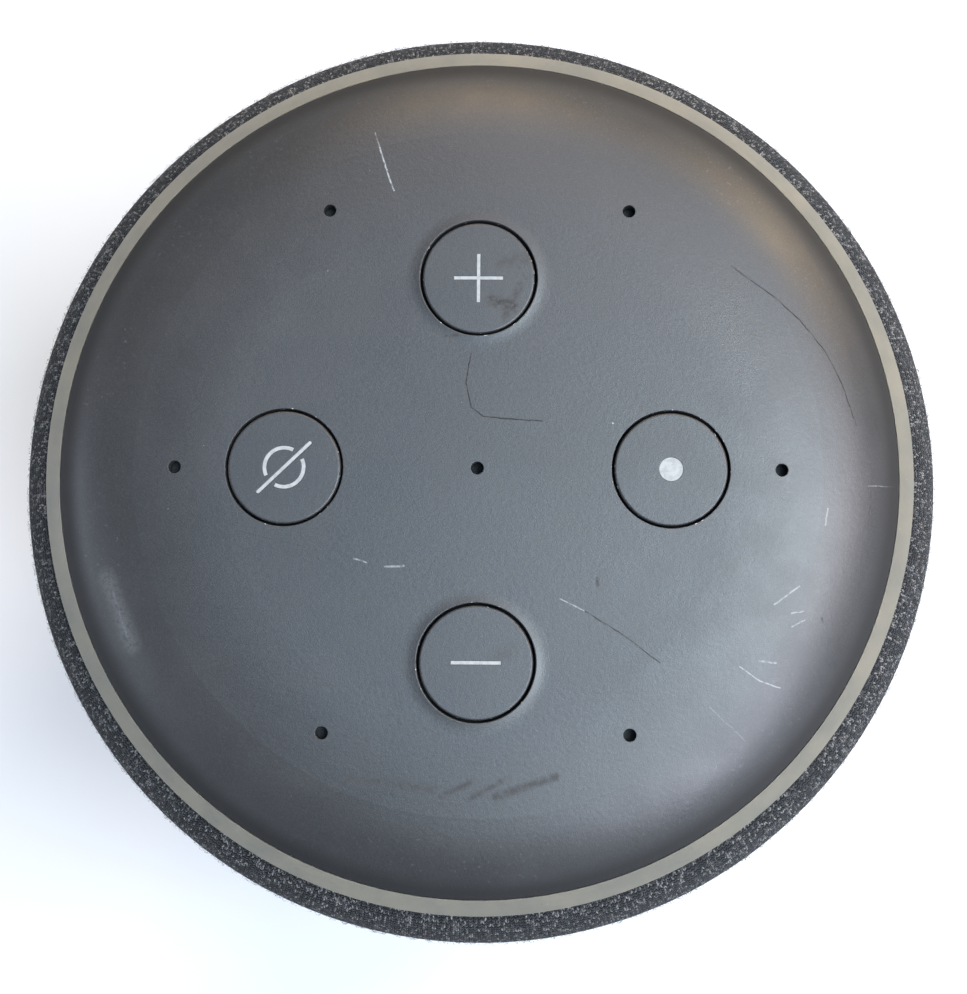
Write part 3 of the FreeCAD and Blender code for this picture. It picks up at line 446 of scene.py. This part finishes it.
def board():
    """Solder mask over traces, with tinned pads."""
    m = Mat("circuit_board")
    traces = m.node("ShaderNodeTexBrick")
    m.feed(traces.inputs["Vector"], m.pos())
    traces.inputs["Scale"].default_value = 0.55
    traces.inputs["Mortar Size"].default_value = 0.06
    pads = m.node("ShaderNodeTexVoronoi")
    m.feed(pads.inputs["Vector"], m.pos())
    pads.inputs["Scale"].default_value = 0.5
    colour = m.mix(traces.outputs["Fac"], (0.006, 0.045, 0.024), (0.012, 0.085, 0.045))
    colour = m.mix(m.range(pads.outputs["Distance"], 0.16, 0.12), colour, (0.55, 0.55, 0.5))
    m.set(Base_Color=colour, Roughness=m.range(m.noise(1.0), 0.3, 0.7, 0.25, 0.4), Normal=m.bump(traces.outputs["Fac"], 0.03 * MM, 0.5))
    return m.mat


def cloth_part():
    m = Mat("dipped_cloth")
    x, y, z = m.xyz(m.pos())
    a = m.math("MULTIPLY", m.math("SINE", m.math("MULTIPLY", x, 9.0)), m.math("SINE", m.math("MULTIPLY", y, 9.0)))
    # Painted shade: the colour darkens in the hollows of the weave, in step with the bump.
    m.set(Base_Color=m.mix(m.range(a, -1.0, 1.0), (0.35, 0.22, 0.08), (0.6, 0.42, 0.2)), Roughness=m.range(m.noise(1.0), 0.3, 0.7, 0.7, 0.9), Normal=m.bump(a, 0.05 * MM, 0.6))
    return m.mat


def paper():
    m = Mat("cone_pulp")
    f = m.noise(1.6, 6.0, 0.75)
    m.set(Base_Color=m.mix(m.range(f, 0.35, 0.65), (0.02, 0.02, 0.022), (0.07, 0.07, 0.072)), Roughness=m.range(f, 0.3, 0.7, 0.8, 0.95), Normal=m.bump(f, 0.06 * MM, 0.8))
    return m.mat


def winding():
    m = Mat("enamelled_winding")
    x, y, z = m.xyz(m.pos())
    w = m.math("SINE", m.math("MULTIPLY", z, 22.0))
    # Painted shade: the colour darkens in the grooves between turns, in step with the bump.
    m.set(Base_Color=m.mix(m.range(w, -1.0, 1.0), (0.35, 0.12, 0.04), (0.8, 0.36, 0.16)), Metallic=0.9, Roughness=m.range(m.noise(1.0), 0.3, 0.7, 0.25, 0.4), Normal=m.bump(w, 0.1 * MM, 0.7))
    return m.mat


COVER = cover_material("satin_charcoal_cover")
CAP = cover_material("satin_charcoal_cap", plain=True)
SLOTS = {
    "cover_plastic": COVER,
    "button_plastic": CAP,
    "legend_plastic": legend_material(),
    "light_guide": ring_material(),
    "white_plastic": plastic("white_reflector", (0.7, 0.7, 0.67), (0.82, 0.82, 0.8), (0.3, 0.45)),
    "black_plastic": plastic("black_moulding", srgb(27, 28, 30), srgb(36, 37, 40), (0.5, 0.68), relief=0.03),
    "silicone": plastic("grey_silicone", srgb(120, 121, 124), srgb(136, 137, 140), (0.6, 0.75), Sheen_Weight=0.2),
    "foot_rubber": plastic("foot_rubber", srgb(25, 25, 26), srgb(34, 34, 35), (0.75, 0.9), relief=0.05, grain=3.0, Sheen_Weight=0.15),
    "driver_rubber": plastic("driver_rubber", srgb(20, 20, 21), srgb(27, 27, 28), (0.55, 0.7)),
    "circuit_board": board(),
    "tin": metal("tinned_steel", (0.62, 0.62, 0.6)),
    "screw_steel": metal("zinc_plated", (0.55, 0.56, 0.58), (0.3, 0.5)),
    "sink_aluminium": metal("blasted_aluminium", (0.75, 0.76, 0.78), (0.4, 0.55), (1, 0.05, 1)),
    "pressed_steel": plastic("black_ecoat", srgb(22, 22, 24), srgb(30, 30, 32), (0.3, 0.42), Metallic=0.3),
    "ferrite": plastic("ferrite", srgb(44, 44, 47), srgb(58, 58, 62), (0.65, 0.8), grain=2.0, relief=0.06),
    "cone_paper": paper(),
    "coil_wire": winding(),
    "spider_cloth": cloth_part(),
    "knit": knit_material(),
}
for entry in frame["record"]["subparts"]:
    node = NODES[entry["node"]]
    node.data.materials.clear()
    node.data.materials.append(SLOTS[entry["material_slot"]])
    for face in node.data.polygons:
        face.material_index = 0


# ------------------------------------------------------------ rubber parts, copied
def flexing(node):
    """A rubber part, squeezed between the housing and a body that moves, is copied into an object of its own, and the
    CAD part hidden.
    """
    source = NODES[node]
    obj = bpy.data.objects.new(node + "_flexing", source.data.copy())
    obj.matrix_world = source.matrix_world.copy()
    bpy.context.scene.collection.objects.link(obj)
    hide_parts(node)
    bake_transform(obj)


for key, (bx, by) in BUTTONS.items():
    flexing(key + "_boot")
flexing("tweeter_surround")


# ------------------------------------------------------- volume button collars
def cover_height(radius):
    """Height of the cover's middle, as the CAD has it."""
    return 148.0 - 0.25 * radius * radius / 961.0 - max(0.0, radius - 26.0) ** 2 / 150.0


def make_collar(key):
    """The moulding stands a little proud round a volume button's hole."""
    bx, by = BUTTONS[key]
    inner, outer, rise, around = 6.0, 7.3, 0.12, 128
    rings = []
    for step in range(17):
        t = step / 16
        away = inner + (outer - inner) * t
        lift = rise * (1.0 - t) ** 2
        if step == 0:
            away, lift = inner + 0.03, rise - 0.008
        rings.append((away, lift))
    rings = [(inner + 0.002, -0.12), (inner + 0.002, rise - 0.045)] + rings + [(outer + 0.2, -0.008), (outer + 0.5, -0.03), (outer + 0.51, -0.12)]
    bm = bmesh.new()
    rows = []
    for away, lift in rings:
        row = []
        for k in range(around):
            a = 2 * math.pi * k / around
            x, y = bx + away * math.cos(a), by + away * math.sin(a)
            row.append(bm.verts.new((x * MM, y * MM, (cover_height(math.hypot(x, y)) + lift) * MM)))
        rows.append(row)
    for i in range(len(rows)):
        one, two = rows[i], rows[(i + 1) % len(rows)]
        for k in range(around):
            n = (k + 1) % around
            bm.faces.new((one[k], two[k], two[n], one[n]))
    bmesh.ops.recalc_face_normals(bm, faces=bm.faces)
    mesh = bpy.data.meshes.new(key + "_collar")
    bm.to_mesh(mesh)
    bm.free()
    for face in mesh.polygons:
        face.use_smooth = True
    obj = bpy.data.objects.new(key + "_collar", mesh)
    bpy.context.scene.collection.objects.link(obj)
    mesh.materials.append(SLOTS["cover_plastic"])
    return obj


for key in ("volume_up", "volume_down"):
    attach(make_collar(key), "housing")


# --------------------------------------------------------------- knit sleeve
SLEEVE_R, SHOULDER_R, SIDE_TOP = 49.42, 11.42, 132.9
PORT = (-17.0, 17.0, 5.6, 20.8, 3.0)


def sleeve_profile():
    """(radius, height) in mm from the tucked lower hem to the tucked top edge."""
    rows = [(47.9, 2.62), (48.0, 2.2), (48.25, 1.95), (48.6, 1.9), (48.95, 2.05), (49.22, 2.4), (49.36, 2.9), (49.41, 3.5)]
    z = 4.3
    while z < SIDE_TOP - 0.6:
        rows.append((SLEEVE_R, z))
        z += 0.95 if z < 24 else 1.6
    steps = 22
    last = math.acos((45.36 - (SLEEVE_R - SHOULDER_R)) / SHOULDER_R)
    for k in range(steps + 1):
        a = last * k / steps
        rows.append((SLEEVE_R - SHOULDER_R + SHOULDER_R * math.cos(a), SIDE_TOP + SHOULDER_R * math.sin(a)))
    r, z = rows[-1]
    rows += [(r - 0.10, z - 0.02), (r - 0.13, z - 0.25), (r - 0.12, z - 0.9), (r - 0.10, z - 1.6)]
    return rows


def inside_port(s, z, grow=0.0):
    """Signed distance to the rounded opening at the back; negative inside."""
    x0, x1, z0, z1, r = PORT
    cx, cz = (x0 + x1) / 2, (z0 + z1) / 2
    dx, dz = abs(s - cx) - (x1 - x0) / 2 + r, abs(z - cz) - (z1 - z0) / 2 + r
    return math.hypot(max(dx, 0), max(dz, 0)) + min(max(dx, dz), 0) - r - grow


def make_sleeve():
    cols = 384
    rows = sleeve_profile()
    run = [0.0]
    for (r0, z0), (r1, z1) in zip(rows, rows[1:]):
        run.append(run[-1] + math.hypot(r1 - r0, z1 - z0))
    bm = bmesh.new()
    layer = bm.loops.layers.uv.new("cloth")
    grid = []
    for j, (r, z) in enumerate(rows):
        ring = []
        for i in range(cols):
            a = -math.pi / 2 + 2 * math.pi * i / cols
            ring.append(bm.verts.new((r * math.cos(a), r * math.sin(a), z)))
        grid.append(ring)
    where = {}
    for j in range(len(rows) - 1):
        for i in range(cols):
            k = (i + 1) % cols
            face = bm.faces.new((grid[j][i], grid[j][k], grid[j + 1][k], grid[j + 1][i]))
            face.smooth = True
            for loop, (ci, cj) in zip(face.loops, ((i, j), (i + 1, j), (i + 1, j + 1), (i, j + 1))):
                loop[layer].uv = (ci / cols, run[cj] * MM)
            mid = face.calc_center_median()
            if mid.y > 0 and inside_port(mid.x, mid.z) < 0:
                where[face] = True
    edge = {v for f in where for v in f.verts if any(g not in where for g in v.link_faces)}
    bmesh.ops.delete(bm, geom=list(where), context="FACES")
    # The verts left round the opening move on to its outline.
    for v in edge:
        if not v.is_valid:
            continue
        for _ in range(6):
            d = inside_port(v.co.x, v.co.z)
            h = 0.01
            gx = (inside_port(v.co.x + h, v.co.z) - d) / h
            gz = (inside_port(v.co.x, v.co.z + h) - d) / h
            n = math.hypot(gx, gz) or 1.0
            v.co.x -= gx / n * d
            v.co.z -= gz / n * d
        v.co.y = math.sqrt(max(SLEEVE_R ** 2 - v.co.x ** 2, 0))
    rim = [e for e in bm.edges if e.is_boundary and all(v in edge for v in e.verts)]
    # Hem: the cloth turns in round the opening.
    ring = rim
    for dr, inset in ((0.22, 0.03), (0.5, 0.05), (0.8, 0.06)):
        made = bmesh.ops.extrude_edge_only(bm, edges=ring)["geom"]
        verts = [g for g in made if isinstance(g, bmesh.types.BMVert)]
        for v in verts:
            r = math.hypot(v.co.x, v.co.y)
            v.co.x *= (r - dr) / r
            v.co.y *= (r - dr) / r
        ring = [g for g in made if isinstance(g, bmesh.types.BMEdge) and g.is_boundary]
        for f in {f for v in verts for f in v.link_faces}:
            f.smooth = True
    bmesh.ops.recalc_face_normals(bm, faces=bm.faces)
    for v in bm.verts:
        v.co *= MM
    mesh = bpy.data.meshes.new("knit_sleeve")
    bm.to_mesh(mesh)
    bm.free()
    obj = bpy.data.objects.new("knit_sleeve", mesh)
    bpy.context.scene.collection.objects.link(obj)
    mesh.materials.append(SLOTS["knit"])
    return obj, sum(run and [run[-1]]) * MM


sleeve, cloth_length = make_sleeve()
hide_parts("fabric_sleeve")
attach(sleeve, "housing")


def make_fuzz():
    """Short loose fibres standing off the knit, most of them at the shoulder."""
    rnd = random.Random(7)
    bm = bmesh.new()
    for k in range(15000):
        a = rnd.uniform(0, 2 * math.pi)
        if k % 3:
            z, r, tilt = rnd.uniform(3.5, SIDE_TOP), SLEEVE_R, 0.0
        else:
            tilt = rnd.uniform(0, 0.93)
            z, r = SIDE_TOP + SHOULDER_R * math.sin(tilt), SLEEVE_R - SHOULDER_R + SHOULDER_R * math.cos(tilt)
        out = Vector((math.cos(a) * math.cos(tilt), math.sin(a) * math.cos(tilt), math.sin(tilt)))
        at = Vector((r * math.cos(a), r * math.sin(a), z))
        if at.y > 0 and inside_port(at.x, at.z) < 1.0:
            continue
        side = Vector((-math.sin(a), math.cos(a), 0))
        up = out.cross(side)
        turn_ = rnd.uniform(0, 2 * math.pi)
        along = side * math.cos(turn_) + up * math.sin(turn_)
        across = out.cross(along)
        size, lift, wide = rnd.uniform(0.35, 1.0), rnd.uniform(0.08, 0.34), rnd.uniform(0.012, 0.020)
        bend = rnd.uniform(-0.25, 0.25)
        last = None
        for step in range(4):
            t = step / 3
            place = at + along * (size * (t - 0.5)) + out * (lift * math.sin(math.pi * (0.12 + 0.8 * t)) - 0.02) + across * (bend * t * t)
            half = across * (wide * (1.0 - 0.5 * t)) + out * (wide * 0.5)
            pair = [bm.verts.new((place - half) * MM), bm.verts.new((place + half) * MM)]
            if last:
                bm.faces.new((last[0], last[1], pair[1], pair[0]))
            last = pair
    mesh = bpy.data.meshes.new("knit_fuzz")
    bm.to_mesh(mesh)
    bm.free()
    obj = bpy.data.objects.new("knit_fuzz", mesh)
    bpy.context.scene.collection.objects.link(obj)
    m = Mat("loose_fibre")
    tone = m.noise(0.8, 2.0, 0.6)
    m.set(Base_Color=m.mix(m.range(tone, 0.42, 0.62), srgb(40, 40, 41), srgb(128, 127, 125)), Roughness=m.range(tone, 0.3, 0.7, 0.8, 0.95), Specular_IOR_Level=0.2)
    mesh.materials.append(m.mat)
    return obj


fuzz = make_fuzz()
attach(fuzz, "housing")


# --------------------------------------------------------------- studio
def make_floor():
    bm = bmesh.new()
    bmesh.ops.create_grid(bm, x_segments=24, y_segments=24, size=3.0)
    mesh = bpy.data.meshes.new("studio_floor")
    bm.to_mesh(mesh)
    bm.free()
    obj = bpy.data.objects.new("studio_floor", mesh)
    bpy.context.scene.collection.objects.link(obj)
    m = Mat("pale_floor")
    soft = m.noise(0.004, 2.0, 0.5)
    # Far from the object the soft boxes don't reach, so the floor glows a little there.
    far = m.range(m.vec("LENGTH", m.pos()), 350.0, 1100.0)
    m.set(Base_Color=m.mix(soft, (0.82, 0.82, 0.82), (0.86, 0.86, 0.86)), Roughness=0.85, Specular_IOR_Level=0.1,
          Emission_Color=(0.86, 0.90, 1.0, 1), Emission_Strength=m.math("MULTIPLY", far, 0.8))
    mesh.materials.append(m.mat)
    return obj


def area(name, at, aim, size, power, colour=(1, 1, 1), size_y=None):
    data = bpy.data.lights.new(name, "AREA")
    data.energy = power
    data.color = colour
    data.size = size
    if size_y:
        data.shape = "RECTANGLE"
        data.size_y = size_y
    obj = bpy.data.objects.new(name, data)
    obj.location = at
    obj.rotation_euler = (Vector(aim) - Vector(at)).to_track_quat("-Z", "Y").to_euler()
    bpy.context.scene.collection.objects.link(obj)
    return obj


make_floor()
TOP = Vector((0, 0, 0.148))
# Soft boxes on a dome 1.3 m from the top: (degrees from overhead, degrees from
# east towards north, size in metres, power in watts for red, green and blue).
BOXES = [
    (0, 0, 0.50, (0.58, 1.22, 2.00)),
    (22, 0, 0.42, (7.29, 8.63, 9.29)),
    (22, 60, 0.42, (1.65, 1.56, 1.49)),
    (22, 300, 0.42, (2.45, 2.96, 3.40)),
    (42, 0, 0.42, (6.53, 6.04, 6.49)),
    (42, 45, 0.42, (1.11, 1.62, 2.33)),
    (42, 90, 0.42, (1.82, 1.70, 1.87)),
    (42, 315, 0.42, (7.10, 7.60, 8.90)),
    (60, 45, 0.42, (5.61, 3.96, 2.07)),
    (60, 90, 0.42, (3.60, 2.60, 1.45)),
    (76, 180, 0.36, (1.30, 1.40, 1.70)),
    (60, 200, 0.12, (0.80, 0.90, 1.05)),
]
for number, (down, round_, size, power) in enumerate(BOXES):
    t, p = math.radians(down), math.radians(round_)
    at = TOP + 1.3 * Vector((math.sin(t) * math.cos(p), math.sin(t) * math.sin(p), math.cos(t)))
    area("soft_box_%d" % number, at, TOP, size, max(power), tuple(v / max(power) for v in power))

bpy.context.scene.view_settings.view_transform = "Standard"
world = bpy.data.worlds.new("studio")
bpy.context.scene.world = world
world.use_nodes = True
back = world.node_tree.nodes["Background"]
back.inputs[0].default_value = (0.86, 0.90, 1.0, 1)
# The backdrop looks pale but lights the object very little.
rays = world.node_tree.nodes.new("ShaderNodeLightPath")
level = world.node_tree.nodes.new("ShaderNodeMapRange")
world.node_tree.links.new(rays.outputs["Is Camera Ray"], level.inputs["Value"])
level.inputs["To Min"].default_value = 0.05
level.inputs["To Max"].default_value = 0.85
world.node_tree.links.new(level.outputs[0], back.inputs[1])

# ---------------------------------------------------------------- camera
AX, AY, AZ = (math.radians(v) for v in (5.42, 0.84, 0.40))
turn = Matrix.Rotation(AZ, 3, "Z") @ Matrix.Rotation(AY, 3, "Y") @ Matrix.Rotation(AX, 3, "X")
cam_data = bpy.data.cameras.new("camera")
cam = bpy.data.objects.new("camera", cam_data)
cam.matrix_world = Matrix.Translation((3.1 * MM, -18.1 * MM, (148 + 160) * MM)) @ turn.to_4x4()
cam_data.sensor_width = 36.0
cam_data.lens = 1596.0 / 994.0 * 36.0
cam_data.clip_start, cam_data.clip_end = 0.01, 20.0
bpy.context.scene.collection.objects.link(cam)
bpy.context.scene.camera = cam
